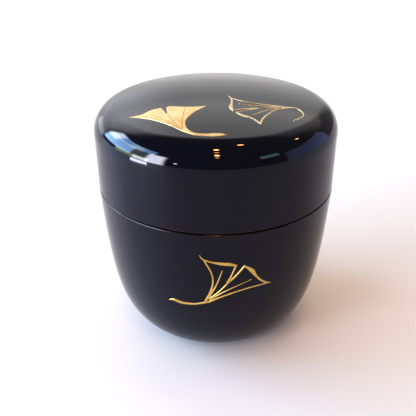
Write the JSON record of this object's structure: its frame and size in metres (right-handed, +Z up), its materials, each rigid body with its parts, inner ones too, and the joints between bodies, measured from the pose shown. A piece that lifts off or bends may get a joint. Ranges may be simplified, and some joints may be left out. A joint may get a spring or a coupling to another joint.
{
  "type": "tea caddy",
  "caption": "Round black lacquered tea caddy: a deep cup on a small flat foot, a domed lift-off lid over an inner collar, and gold leaves on the lid and front.",
  "frame": {"origin": "centre of the foot, on the surface that the caddy stands on", "axes": "+Z up along the turning axis; the front, with the gold leaf on the body, faces -Y; +X is to the right seen from the front"},
  "size_m": [0.066, 0.066, 0.0712],
  "materials": {
    "black_lacquer": "black urushi lacquer polished to a mirror gloss over turned wood",
    "pale_gold": "fine pale gold powder sprinkled on lacquer and burnished",
    "deep_gold": "fine deep gold powder sprinkled on lacquer and burnished"
  },
  "bodies": {
    "body": {"body": "black_lacquer", "body_line_leaf": "deep_gold"},
    "lid": {"lid": "black_lacquer", "lid_solid_leaf": "pale_gold", "lid_line_leaf": "pale_gold"}
  },
  "joints": [
    {"name": "lid_lift", "type": "slide", "parent": "body", "child": "lid", "axis": [0, 0, 1], "range_m": [0, 0.05]}
  ]
}
